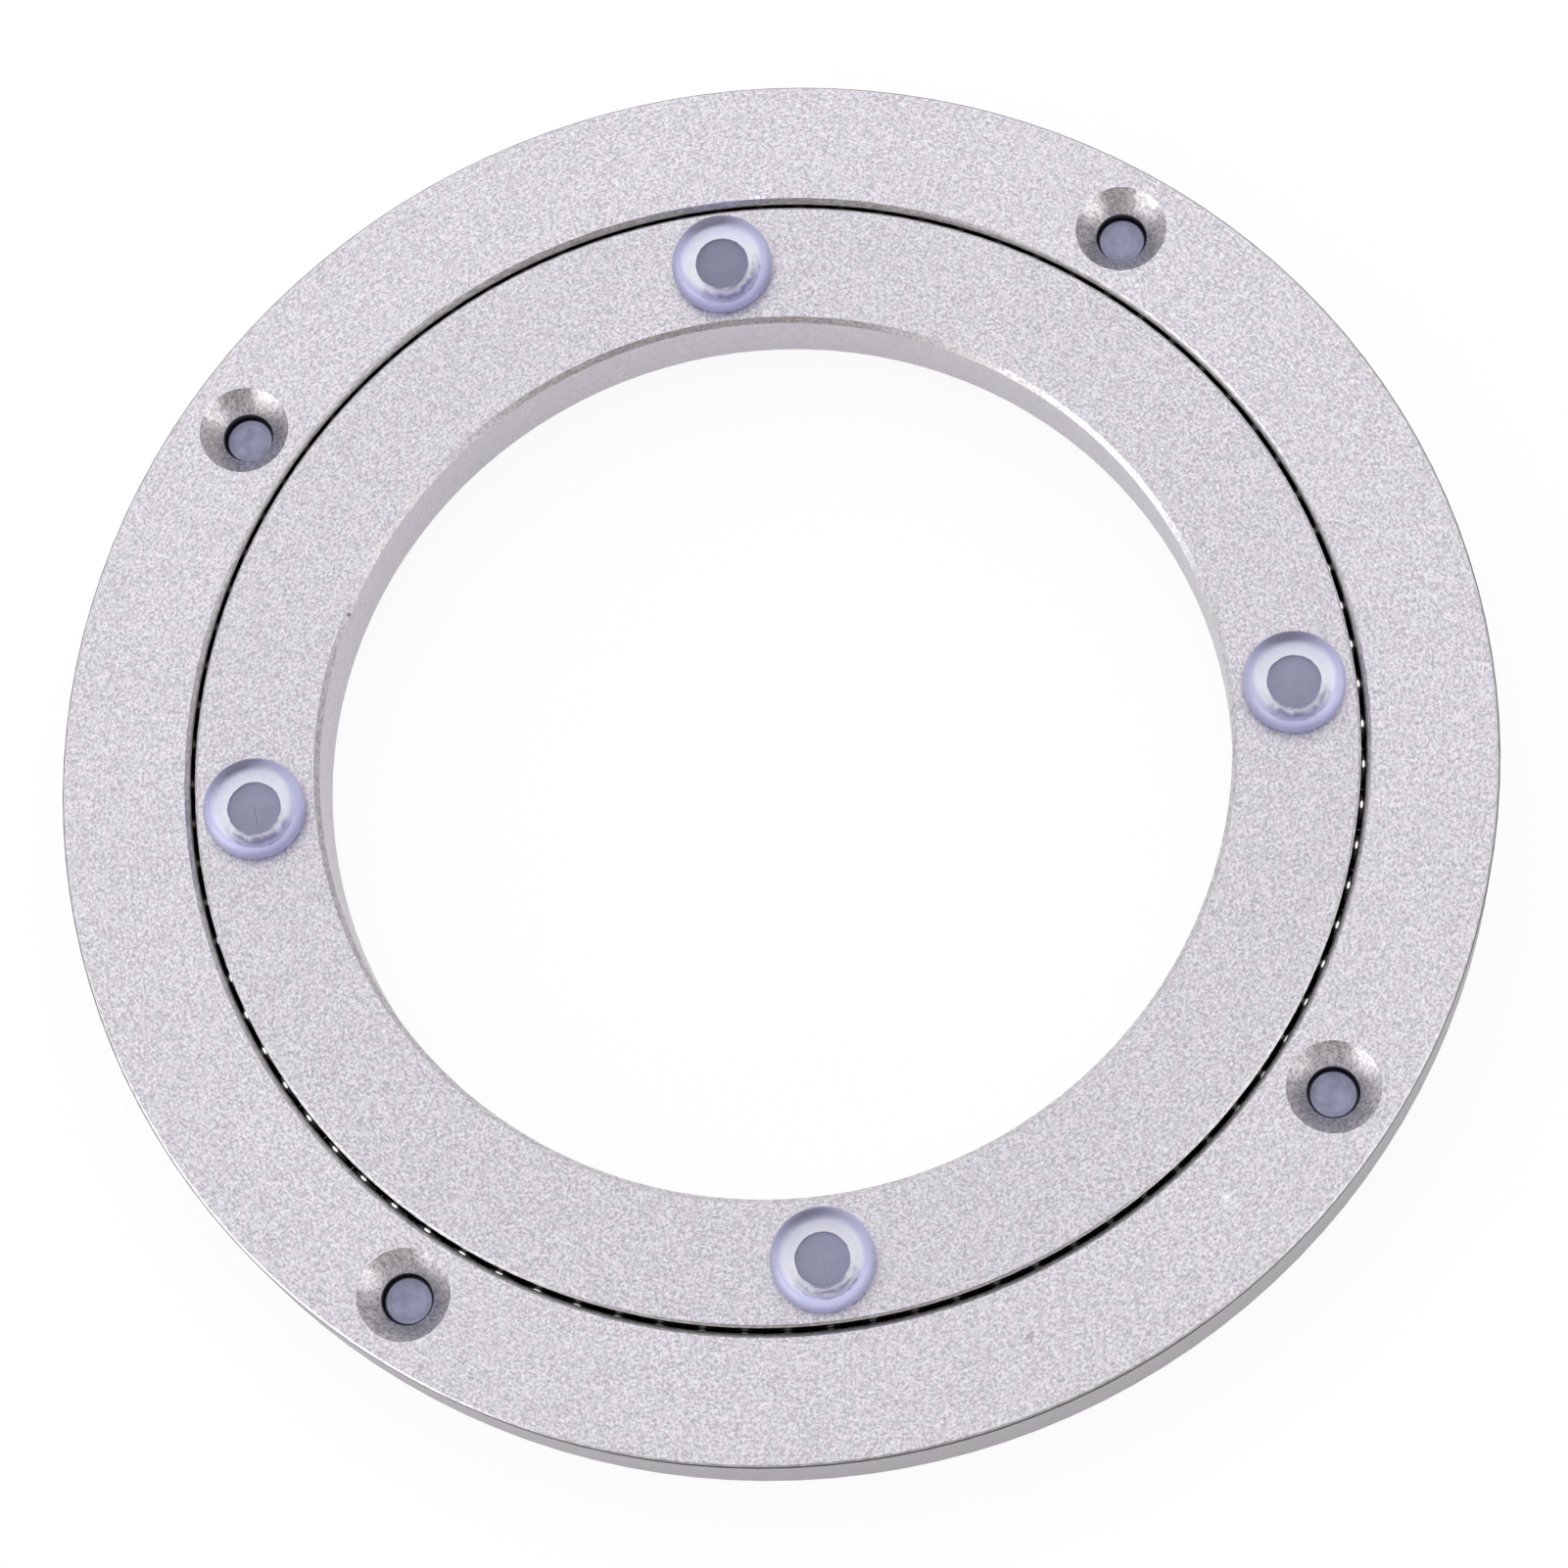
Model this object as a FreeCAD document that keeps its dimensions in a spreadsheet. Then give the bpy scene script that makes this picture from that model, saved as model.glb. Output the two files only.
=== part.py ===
import FreeCAD, Part
import math
import os
import Sketcher

# Lazy susan bearing: two flat aluminium rings that turn in each other on a full row of steel balls.
# Clear push-in pads stand in the screw holes, four on top of the inner ring for the tray and four
# under the outer ring as feet. Millimetres, Z up, origin on the axis at the undersides of the feet.

# Driving sizes, one row for each: alias, value, what it measures
DIMENSIONS = [
    ("outer_diameter", 140.0, "outside diameter of the outer ring"),
    ("outer_ring_width", 12.7, "width of the outer ring from its rim in to the gap"),
    ("ring_gap", 0.5, "open width between the two rings"),
    ("inner_ring_width", 12.3, "width of the inner ring from the gap in to its bore"),
    ("ring_thickness", 8.0, "height of both rings"),
    ("rim_chamfer", 0.3, "chamfer of the outer ring's outside edges"),
    ("mouth_chamfer", 0.5, "chamfer of the outer ring's inside edges"),
    ("shoulder_chamfer", 0.25, "chamfer of the inner ring's outside edges"),
    ("bore_chamfer", 0.5, "chamfer of the inner ring's bore edges"),
    ("ball_diameter", 3.969, "steel ball, 5/32 inch"),
    ("ball_spacing", 0.08, "least play from one ball to the next"),
    ("ball_start_angle", 92.0, "place of the first ball on its circle"),
    ("race_clearance", 0.05, "play between a ball and either race"),
    ("screw_holes", 4, "countersunk holes in each ring"),
    ("outer_hole_inset", 6.5, "centre of the outer ring's screw holes in from the rim"),
    ("inner_hole_inset", 6.3, "centre of the inner ring's screw holes out from the bore"),
    ("outer_hole_angle", 45.0, "place of the outer ring's first screw hole"),
    ("inner_hole_angle", 83.9, "place of the inner ring's first screw hole at rest"),
    ("hole_diameter", 5.0, "screw hole"),
    ("countersink_diameter", 9.0, "countersink at the face of the ring"),
    ("countersink_angle", 82.0, "included angle of the countersink"),
    ("mouth_diameter", 6.6, "countersunk mouth that each hole has on the side of its pad"),
    ("pad_diameter", 10.0, "head of a clear pad"),
    ("pad_height", 3.0, "head of a clear pad above the ring's face"),
    ("pad_flat", 2.4, "flat in the middle of the head, which the tray rests on"),
    ("pad_seat_radius", 0.4, "rounding of the head's edge at the ring"),
    ("stem_play", 0.1, "play all round between a pad's stem and its hole"),
    ("root_play", 0.05, "play between the cone at a stem's root and the mouth of its hole"),
    ("stem_length", 4.8, "stem of a pad below its head"),
    ("stem_end_chamfer", 0.6, "lead-in at the stem's free end"),
    ("fill_play", 0.15, "play all round when a ball passes the filling hole"),
    ("plug_play", 0.02, "play all round between the filling plug and its hole"),
    ("plug_recess", 0.3, "depth of the plug's outer end below the rim"),
    ("plug_chamfer", 0.3, "chamfer of the plug's outer end"),
]

# Radii that follow from the driving sizes, from the rim inwards: 70, 57.3, 57.05, 56.8 and 44.5;
# the balls run on the middle of the gap
RIM_RADIUS = "sizes.outer_diameter / 2"
MOUTH_RADIUS = "(%s - sizes.outer_ring_width)" % RIM_RADIUS
PITCH_RADIUS = "(%s - sizes.ring_gap / 2)" % MOUTH_RADIUS
SHOULDER_RADIUS = "(%s - sizes.ring_gap)" % MOUTH_RADIUS
BORE_RADIUS = "(%s - sizes.inner_ring_width)" % SHOULDER_RADIUS
OUTER_HOLE_RADIUS = "(%s - sizes.outer_hole_inset)" % RIM_RADIUS
INNER_HOLE_RADIUS = "(%s + sizes.inner_hole_inset)" % BORE_RADIUS
RACE_RADIUS = "sizes.ball_diameter / 2 + sizes.race_clearance"
STEM_RADIUS = "sizes.hole_diameter / 2 - sizes.stem_play"
# The cone at a stem's root has the countersink's angle and fills the mouth of the hole
ROOT_RADIUS = "(sizes.mouth_diameter / 2 - sizes.root_play)"
ROOT_DEPTH = "((%s - (%s)) / tan(sizes.countersink_angle * 1 deg / 2))" % (ROOT_RADIUS, STEM_RADIUS)
# A pad's head is a shallow dome that falls by the crown to its edge, and the edge is well rounded
PAD_CROWN = "0.2 * sizes.pad_height"
PAD_EDGE_RADIUS = "0.6 * sizes.pad_height"
FILL_RADIUS = "sizes.ball_diameter / 2 + sizes.fill_play"
BALL_COUNT = "floor(180 deg / asin((sizes.ball_diameter + sizes.ball_spacing) / 2 / %s))" % PITCH_RADIUS

# The points of a line or circle as a sketch numbers them
START, END, CENTRE = range(1, 4)
MATCH = 1e-6

doc = FreeCAD.newDocument("lazy_susan_bearing")


def make_sizes():
    """The spreadsheet that every sub-part reads."""
    sheet = doc.addObject("Spreadsheet::Sheet", "sizes")
    for row, (alias, value, note) in enumerate(DIMENSIONS, start=1):
        sheet.set("A%d" % row, alias)
        sheet.set("B%d" % row, str(value))
        sheet.set("C%d" % row, note)
        sheet.setAlias("B%d" % row, alias)
    doc.recompute()
    return sheet


sizes = make_sizes()


def number(expression):
    """The present value of an expression on the sheet."""
    value = sizes.evalExpression(expression)
    return float(getattr(value, "Value", value))


def make_body(label):
    """An empty body whose label names its file."""
    body = doc.addObject("PartDesign::Body", label)
    body.Label = label
    body.AllowCompound = True
    return body


def make_sketch(body, plane, name):
    """A sketch on one of the body's own origin planes."""
    origin = [feature for feature in body.Origin.OriginFeatures if feature.Role == plane][0]
    sketch = body.newObject("Sketcher::SketchObject", name)
    sketch.AttachmentSupport = (origin, [""])
    sketch.MapMode = "FlatFace"
    return sketch


def place_vertex(sketch, geometry, vertex, across, up):
    """Ties a vertex to its distances from the sketch's origin: -1 is its X axis, -2 its Y axis."""
    for kind, axis, expression in (("DistanceX", -2, across), ("DistanceY", -1, up)):
        if expression == "0":
            sketch.addConstraint(Sketcher.Constraint("PointOnObject", geometry, vertex, axis))
            continue
        distance = Sketcher.Constraint(kind, -1, START, geometry, vertex, number(expression))
        index = sketch.addConstraint(distance)
        sketch.setExpression("Constraints[%d]" % index, expression)


def crown_arc(edge, top):
    """An arc from the edge up to the flat top, with its centre on the upright axis."""
    rise = top.y - edge.y
    depth = ((edge.x ** 2 - top.x ** 2) / rise - rise) / 2
    radius = math.hypot(edge.x, depth)
    circle = Part.Circle(FreeCAD.Vector(0, edge.y - depth, 0), FreeCAD.Vector(0, 0, 1), radius)
    return Part.ArcOfCircle(circle, math.asin(depth / radius), math.acos(top.x / radius))


def add_outline(sketch, corners, arched=None):
    """A closed outline of straight lines through the corners; the arched side is an arc."""
    points = [FreeCAD.Vector(number(across), number(up), 0) for across, up in corners]
    count = len(corners)
    for index in range(count):
        start, end = points[index], points[(index + 1) % count]
        side = crown_arc(start, end) if index == arched else Part.LineSegment(start, end)
        sketch.addGeometry(side, False)
    for index in range(count):
        following = (index + 1) % count
        sketch.addConstraint(Sketcher.Constraint("Coincident", index, END, following, START))
    for index, (across, up) in enumerate(corners):
        place_vertex(sketch, index, START, across, up)
    if arched is not None:
        sketch.addConstraint(Sketcher.Constraint("PointOnObject", arched, CENTRE, -2))


def add_circle(sketch, across, up, radius):
    """A circle with its centre and radius tied to the sheet."""
    centre = FreeCAD.Vector(number(across), number(up), 0)
    circle = Part.Circle(centre, FreeCAD.Vector(0, 0, 1), number(radius))
    geometry = sketch.addGeometry(circle, False)
    place_vertex(sketch, geometry, CENTRE, across, up)
    index = sketch.addConstraint(Sketcher.Constraint("Radius", geometry, number(radius)))
    sketch.setExpression("Constraints[%d]" % index, radius)


def revolve(body, name, sketch):
    """A full turn of the sketch about the body's upright axis."""
    turned = body.newObject("PartDesign::Revolution", name)
    turned.Profile = sketch
    turned.ReferenceAxis = (sketch, ["V_Axis"])
    turned.Angle = 360
    doc.recompute()
    return turned


def must_cut(feature, before):
    """Stops the build when a cut took nothing away."""
    doc.recompute()
    if feature.Shape.isNull() or feature.Shape.Volume > before - MATCH:
        raise RuntimeError("%s cuts nothing" % feature.Label)


def cut_race(body, name):
    """The round-bottomed groove that the balls run in, a hair wider than a ball."""
    before = body.Shape.Volume
    sketch = make_sketch(body, "XZ_Plane", name + "_section")
    add_circle(sketch, PITCH_RADIUS, "sizes.ring_thickness / 2", RACE_RADIUS)
    groove = body.newObject("PartDesign::Groove", name)
    groove.Profile = sketch
    groove.ReferenceAxis = (sketch, ["V_Axis"])
    groove.Angle = 360
    must_cut(groove, before)


def drill_screw_holes(body, radius, angle, upward):
    """Screw holes: countersunk where the screw's head goes, with a smaller mouth at the other face."""
    drill(body, "screw_hole", radius, angle, upward, "sizes.countersink_diameter")
    drill(body, "pad_mouth", radius, angle, not upward, "sizes.mouth_diameter")


def drill(body, name, radius, angle, upward, mouth):
    """A ring of through holes, countersunk from the top face down or from the underside up."""
    before = body.Shape.Volume
    sketch = make_sketch(body, "XY_Plane", name + "_centre")
    if not upward:
        sketch.setExpression("AttachmentOffset.Base.z", "sizes.ring_thickness")
    across, up = radius, "0"
    if angle != "0":
        across = "%s * cos(%s * 1 deg)" % (radius, angle)
        up = "%s * sin(%s * 1 deg)" % (radius, angle)
    add_circle(sketch, across, up, "sizes.hole_diameter / 2")
    doc.recompute()
    hole = body.newObject("PartDesign::Hole", name)
    hole.Profile = sketch
    hole.DepthType = "ThroughAll"
    hole.HoleCutType = "Countersink"
    hole.HoleCutCustomValues = True
    hole.Reversed = upward
    hole.setExpression("Diameter", "sizes.hole_diameter")
    hole.setExpression("HoleCutDiameter", mouth)
    hole.setExpression("HoleCutCountersinkAngle", "sizes.countersink_angle")
    must_cut(hole, before)
    pattern = body.newObject("PartDesign::PolarPattern", name + "_row")
    pattern.Originals = [hole]
    pattern.Axis = (sketch, ["N_Axis"])
    pattern.Angle = 360
    pattern.setExpression("Occurrences", "sizes.screw_holes")
    body.Tip = pattern
    must_cut(pattern, hole.Shape.Volume)


def ring_section(inner, inner_chamfer, outer, outer_chamfer):
    """Corners of a flat ring's section with its four edges broken."""
    top = "sizes.ring_thickness"
    return [
        ("%s + %s" % (inner, inner_chamfer), "0"),
        ("%s - %s" % (outer, outer_chamfer), "0"),
        (outer, outer_chamfer),
        (outer, "%s - %s" % (top, outer_chamfer)),
        ("%s - %s" % (outer, outer_chamfer), top),
        ("%s + %s" % (inner, inner_chamfer), top),
        (inner, "%s - %s" % (top, inner_chamfer)),
        (inner, inner_chamfer),
    ]


def break_edge(body, name, radius, height, size, rounded=False):
    """Chamfers or rounds the circular edge of that radius at that height on the body's last feature."""
    base = body.Tip
    found = []
    for index, edge in enumerate(base.Shape.Edges, start=1):
        if not isinstance(edge.Curve, Part.Circle):
            continue
        off_radius = abs(edge.Curve.Radius - number(radius))
        off_height = abs(edge.CenterOfMass.z - number(height))
        if max(off_radius, off_height) < MATCH:
            found.append("Edge%d" % index)
    if len(found) != 1:
        raise RuntimeError("%s finds %d edges" % (name, len(found)))
    feature = body.newObject("PartDesign::Fillet" if rounded else "PartDesign::Chamfer", name)
    feature.Base = (base, found)
    feature.setExpression("Radius" if rounded else "Size", size)
    doc.recompute()


def make_outer_ring():
    """Fixed ring: screw holes countersunk from the top and a filling hole for the balls."""
    body = make_body("outer_ring")
    blank = make_sketch(body, "XZ_Plane", "outer_ring_section")
    add_outline(blank, ring_section(MOUTH_RADIUS, "sizes.mouth_chamfer", RIM_RADIUS, "sizes.rim_chamfer"))
    revolve(body, "outer_ring_blank", blank)
    cut_race(body, "outer_race")
    before = body.Shape.Volume
    sketch = make_sketch(body, "XZ_Plane", "filling_hole_section")
    add_circle(sketch, "0", "sizes.ring_thickness / 2", FILL_RADIUS)
    filling = body.newObject("PartDesign::Pocket", "filling_hole")
    filling.Profile = sketch
    filling.Type = "ThroughAll"
    must_cut(filling, before)
    drill_screw_holes(body, OUTER_HOLE_RADIUS, "sizes.outer_hole_angle", upward=False)
    body.setExpression("Placement.Base.z", "sizes.pad_height")


def make_inner_ring():
    """Turning ring: the same section turned about, its screw holes countersunk from below."""
    body = make_body("inner_ring")
    blank = make_sketch(body, "XZ_Plane", "inner_ring_section")
    section = ring_section(BORE_RADIUS, "sizes.bore_chamfer", SHOULDER_RADIUS, "sizes.shoulder_chamfer")
    add_outline(blank, section)
    revolve(body, "inner_ring_blank", blank)
    cut_race(body, "inner_race")
    drill_screw_holes(body, INNER_HOLE_RADIUS, "0", upward=True)
    body.setExpression("Placement.Base.z", "sizes.pad_height")
    body.setExpression("Placement.Rotation.Angle", "sizes.inner_hole_angle")


def make_ball_fill_plug():
    """Plug pressed in behind the last ball; the race is cut across its inner end."""
    body = make_body("ball_fill_plug")
    sketch = make_sketch(body, "XZ_Plane", "plug_section")
    sketch.setExpression("AttachmentOffset.Base.z", "-(%s)" % MOUTH_RADIUS)
    add_circle(sketch, "0", "sizes.ring_thickness / 2", "%s - sizes.plug_play" % FILL_RADIUS)
    plug = body.newObject("PartDesign::Pad", "plug_blank")
    plug.Profile = sketch
    plug.Reversed = True
    plug.setExpression("Length", "%s - sizes.plug_recess - %s" % (RIM_RADIUS, MOUTH_RADIUS))
    doc.recompute()
    far_end = number("%s - sizes.plug_recess" % RIM_RADIUS)
    ends = [
        "Face%d" % index
        for index, face in enumerate(plug.Shape.Faces, start=1)
        if abs(face.CenterOfMass.y - far_end) < MATCH
    ]
    chamfer = body.newObject("PartDesign::Chamfer", "plug_end_chamfer")
    chamfer.Base = (plug, ends)
    chamfer.setExpression("Size", "sizes.plug_chamfer")
    doc.recompute()
    cut_race(body, "plug_race")
    body.setExpression("Placement.Base.z", "sizes.pad_height")


def make_balls():
    """The full row of balls, one solid each."""
    body = make_body("bearing_balls")
    ball = body.newObject("PartDesign::AdditiveSphere", "ball")
    ball.setExpression("Radius", "sizes.ball_diameter / 2")
    ball.setExpression("AttachmentOffset.Base.x", PITCH_RADIUS)
    ball.setExpression("AttachmentOffset.Base.z", "sizes.ring_thickness / 2")
    ground = [feature for feature in body.Origin.OriginFeatures if feature.Role == "XY_Plane"][0]
    ball.AttachmentSupport = (ground, [""])
    ball.MapMode = "FlatFace"
    doc.recompute()
    upright = [feature for feature in body.Origin.OriginFeatures if feature.Role == "Z_Axis"][0]
    row = body.newObject("PartDesign::PolarPattern", "ball_row")
    row.Originals = [ball]
    row.Axis = (upright, [""])
    row.Angle = 360
    row.setExpression("Occurrences", BALL_COUNT)
    body.Tip = row
    body.setExpression("Placement.Base.z", "sizes.pad_height")
    body.setExpression("Placement.Rotation.Angle", "sizes.ball_start_angle")
    doc.recompute()
    if len(body.Shape.Solids) != round(number(BALL_COUNT)):
        raise RuntimeError("the row holds %d balls" % len(body.Shape.Solids))


def make_pad(label, circle_radius, angle, seat, under):
    """Clear push-in pad: domed head on the ring's face, cone in the hole's mouth, stem in the hole."""
    body = make_body(label)
    sketch = make_sketch(body, "XZ_Plane", label + "_section")
    head_radius = "sizes.pad_diameter / 2"
    head_top = "sizes.stem_length + sizes.pad_height"
    head_edge = "%s - %s" % (head_top, PAD_CROWN)
    corners = [
        ("0", head_top),
        ("0", "0"),
        (STEM_RADIUS, "0"),
        (STEM_RADIUS, "sizes.stem_length - %s" % ROOT_DEPTH),
        (ROOT_RADIUS, "sizes.stem_length"),
        (head_radius, "sizes.stem_length"),
        (head_radius, head_edge),
        ("sizes.pad_flat / 2", head_top),
    ]
    add_outline(sketch, corners, arched=6)
    revolve(body, label + "_blank", sketch)
    break_edge(body, label + "_dome", head_radius, head_edge, PAD_EDGE_RADIUS, rounded=True)
    seat_radius = "sizes.pad_seat_radius"
    break_edge(body, label + "_seat", head_radius, "sizes.stem_length", seat_radius, rounded=True)
    break_edge(body, label + "_lead_in", STEM_RADIUS, "0", "sizes.stem_end_chamfer")
    if under:
        body.Placement.Rotation = FreeCAD.Rotation(FreeCAD.Vector(1, 0, 0), 180)
    body.setExpression("Placement.Base.x", "%s * cos(%s)" % (circle_radius, angle))
    body.setExpression("Placement.Base.y", "%s * sin(%s)" % (circle_radius, angle))
    body.setExpression("Placement.Base.z", "%s %s sizes.stem_length" % (seat, "+" if under else "-"))


def make_pads():
    """Feet under the outer ring and tray pads on the inner ring, one in each screw hole."""
    underside = "sizes.pad_height"
    top_face = "sizes.pad_height + sizes.ring_thickness"
    for index in range(round(number("sizes.screw_holes"))):
        step = "%d * 360 deg / sizes.screw_holes" % index
        outer_angle = "sizes.outer_hole_angle * 1 deg + " + step
        inner_angle = "sizes.inner_hole_angle * 1 deg + " + step
        make_pad("foot_pad_%d" % (index + 1), OUTER_HOLE_RADIUS, outer_angle, underside, under=True)
        make_pad("top_pad_%d" % (index + 1), INNER_HOLE_RADIUS, inner_angle, top_face, under=False)


def check_and_write():
    """Refuses a failed feature or an unsound solid, then writes one file for each sub-part."""
    doc.recompute()
    for item in doc.Objects:
        if "Invalid" in item.State or "Error" in item.State:
            raise RuntimeError("%s failed: %s" % (item.Label, item.State))
    bodies = [item for item in doc.Objects if item.TypeId == "PartDesign::Body"]
    for body in bodies:
        if body.Shape.isNull() or not body.Shape.isValid():
            raise RuntimeError("%s has no sound shape" % body.Label)
    os.makedirs("parts", exist_ok=True)
    for body in bodies:
        body.Shape.exportStep(os.path.join("parts", body.Label + ".step"))
        box = body.Shape.BoundBox
        print(
            "%s: %d solids, volume %.1f, X %.2f to %.2f, Y %.2f to %.2f, Z %.2f to %.2f"
            % (body.Label, len(body.Shape.Solids), body.Shape.Volume,
               box.XMin, box.XMax, box.YMin, box.YMax, box.ZMin, box.ZMax)
        )


make_outer_ring()
make_inner_ring()
make_ball_fill_plug()
make_balls()
make_pads()
check_and_write()
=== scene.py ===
import math

import bmesh
import bpy
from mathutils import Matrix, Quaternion, Vector


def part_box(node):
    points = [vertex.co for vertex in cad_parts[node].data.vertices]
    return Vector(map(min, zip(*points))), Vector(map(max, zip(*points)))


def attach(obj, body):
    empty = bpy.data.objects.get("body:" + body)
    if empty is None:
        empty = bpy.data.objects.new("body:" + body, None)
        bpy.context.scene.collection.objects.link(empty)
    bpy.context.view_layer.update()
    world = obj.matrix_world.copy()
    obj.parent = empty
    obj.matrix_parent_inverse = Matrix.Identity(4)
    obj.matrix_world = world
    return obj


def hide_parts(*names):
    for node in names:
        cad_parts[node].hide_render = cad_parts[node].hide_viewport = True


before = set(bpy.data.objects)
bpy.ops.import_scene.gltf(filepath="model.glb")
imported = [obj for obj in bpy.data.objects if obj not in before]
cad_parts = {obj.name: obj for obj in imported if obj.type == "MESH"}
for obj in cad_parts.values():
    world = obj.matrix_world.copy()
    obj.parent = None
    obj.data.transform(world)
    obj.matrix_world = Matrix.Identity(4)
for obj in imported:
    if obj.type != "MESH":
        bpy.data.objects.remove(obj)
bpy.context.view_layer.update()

# Lazy susan bearing on a white floor. Metres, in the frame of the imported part: Z up, origin on the
# axis at the undersides of the feet. Angles are in degrees, and colours are linear RGBA.
MM = 0.001


# ---------------------------------------------------------------- sizes

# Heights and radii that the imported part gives
RING_LOW, RING_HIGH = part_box("outer_ring")
UNDERSIDE = RING_LOW.z
FACE = RING_HIGH.z
RIM_RADIUS = RING_HIGH.x
PAD_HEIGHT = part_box("top_pad_1")[1].z - FACE

# Rings: the gap's two walls, the balls between them, and the screw holes
MOUTH_RADIUS = 57.3 * MM
SHOULDER_RADIUS = 56.8 * MM
PITCH_RADIUS = 57.05 * MM
BALL_COUNT = 88
BALL_START_ANGLE = 92.0
SCREW_HOLES = 4
OUTER_HOLE_RADIUS = 63.5 * MM
OUTER_HOLE_ANGLE = 45.0
INNER_HOLE_RADIUS = 50.8 * MM
INNER_HOLE_ANGLE = 83.9
HOLE_RADIUS = 2.5 * MM
SINK_RADIUS = 4.5 * MM
SINK_ANGLE = 82.0

# Small mouth that each screw hole has under its pad
PAD_MOUTH_RADIUS = 3.3 * MM
PAD_MOUTH_DEPTH = (PAD_MOUTH_RADIUS - HOLE_RADIUS) / math.tan(math.radians(SINK_ANGLE / 2))

# Pad's head. The round at its seat turns to an angle, and inside an inset the head sinks a little
# into the metal, so that no film of air shows under it
PAD_RADIUS = 5.0 * MM
PAD_FLAT_RADIUS = 1.2 * MM
PAD_CROWN = 0.2 * PAD_HEIGHT
PAD_EDGE_RADIUS = 0.6 * PAD_HEIGHT
PAD_SEAT_RADIUS = 0.4 * MM
PAD_SEAT_ANGLE = 165.0
PAD_SEAT_INSET = 0.8 * PAD_SEAT_RADIUS
SEAT_SINK = 0.04 * MM

# Pad's stem, and the core and shelf, a painted reflection, in which it ends inside the head
STEM_RADIUS = 2.4 * MM
STEM_LENGTH = 4.8 * MM
STEM_CHAMFER = 0.2 * MM
CORE_RADIUS = 2.42 * MM
CORE_DEPTH = 0.45 * MM
SHELF_RADIUS = 2.5 * MM
SHELF_HEIGHT = 0.006 * MM

# Turned meshes: sides all round, steps of the arcs, and the angle from which an edge is sharp
PAD_SIDES = 96
DOME_STEPS = 8
EDGE_STEPS = 16
SEAT_STEPS = 8
SHARP_ANGLE = 35.0

# How far each pad is turned in its hole
PAD_TURNS = (12.0, 0.0, 2.0, -2.0)


# ---------------------------------------------------------------- looks of the metal

WHITE = (1.0, 1.0, 1.0, 1.0)
BLACK = (0.0, 0.0, 0.0, 1.0)

# Range that most of a noise keeps to
NOISE_RANGE = (0.3, 0.7)

# Blasted grain: features per metre of the round grains and of those pulled out along the turning
# direction, how many times longer the pulled ones are and on which circle that is measured, how
# much of the grain is round, and the range from its dark to its pale colour
GRAIN_SCALE = 3700.0
PULLED_SCALE = 3900.0
GRAIN_ROUGHNESS = 0.6
PULL = 2.0
PULL_RADIUS = 57.0 * MM
ROUND_SHARE = 0.65
GRAIN_RANGE = (0.372, 0.628)

# The grain's colours, in the two tints that wander into each other, and the clouds over both
TINT_SCALE = 620.0
TINT_RANGE = (0.40, 0.60)
PALE_TINTS = ((0.90, 0.84, 0.92, 1.0), (0.88, 0.855, 0.92, 1.0))
DARK_TINTS = ((0.46, 0.43, 0.475, 1.0), (0.445, 0.44, 0.475, 1.0))
CLOUD_SCALE = 60.0
CLOUD_SHARE = 0.10
CLOUD_COLOUR = (0.60, 0.58, 0.615, 1.0)

# Share of the faces' brightness that each ring lacks
OUTER_DULLING = 0.02
INNER_DULLING = 0.06

# Tool marks in the countersinks: rings round the hole and chatter across them, each with the radius
# of the circle on which its length is measured, and their dark and pale colours
RING_MARK_SCALE = 6400.0
RING_MARK_RADIUS = 1.8 * MM
RING_MARK_SHARE = 0.6
CHATTER_SCALE = 3600.0
CHATTER_RADIUS = 2.5 * MM
CHATTER_STRETCH = 2.0
MARK_RANGE = (0.38, 0.62)
MARK_COLOURS = ((0.47, 0.45, 0.475, 1.0), (1.0, 0.97, 1.0, 1.0))

# Turned chamfers, streaked by the pulled grain
TURNED_RANGE = (0.35, 0.65)
TURNED_COLOURS = ((0.54, 0.52, 0.54, 1.0), (0.85, 0.83, 0.86, 1.0))

# Slopes, as the upright part of a surface's normal: 1 on the faces and 0 on the walls
CHAMFER_SLOPES = (0.35, 0.93)
SLOPE_SOFT = 0.02
FACE_BORDER = (0.93, 0.95)
SLOPE_BORDER = (0.5, 0.6)
WALL_BORDER = (0.2, 0.3)

# Borders between looks, each from where it begins to where it ends
SINK_BORDER = (SINK_RADIUS + 0.02 * MM, SINK_RADIUS + 0.06 * MM)
HOLE_BORDER = (HOLE_RADIUS + 0.02 * MM, HOLE_RADIUS + 0.05 * MM)
COVERED_BORDER = (PAD_RADIUS - 0.25 * MM, PAD_RADIUS - 0.15 * MM)
COVERED_SOFT = 0.02 * MM
RIM_BORDER = (RIM_RADIUS - 0.06 * MM, RIM_RADIUS - 0.03 * MM)
RIM_EDGE_BORDER = (RIM_RADIUS - 0.16 * MM, RIM_RADIUS - 0.14 * MM)

# Walls: smoother than the faces, so that a plain colour has its share of them. Painted shade darkens
# them in the screw holes and at the rim's edge and shades the rim, and painted shade with grease
# darkens them in the gap and the races
WALL_SHARE = 0.65
WALL_COLOUR = (0.60, 0.575, 0.62, 1.0)
HOLE_WALL_SHADE = (0.20, 0.19, 0.22, 1.0)
RIM_SHADE = 0.34
RIM_EDGE_SHADE = (0.22, 0.21, 0.23, 1.0)
RACE_REACH = 3.0 * MM
RACE_SOFT = 0.1 * MM
GREASE_SHADE_DEPTH = 0.3 * MM
GREASE_SHADE_SOFT = 0.2 * MM
GREASE_SHADE_COLOUR = (0.06, 0.05, 0.045, 1.0)

# Painted light on the metal under the pads: brighter and bluer there
UNDER_PAD_PAINTED_LIGHT = (0.89, 0.905, 0.975, 1.0)

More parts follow.
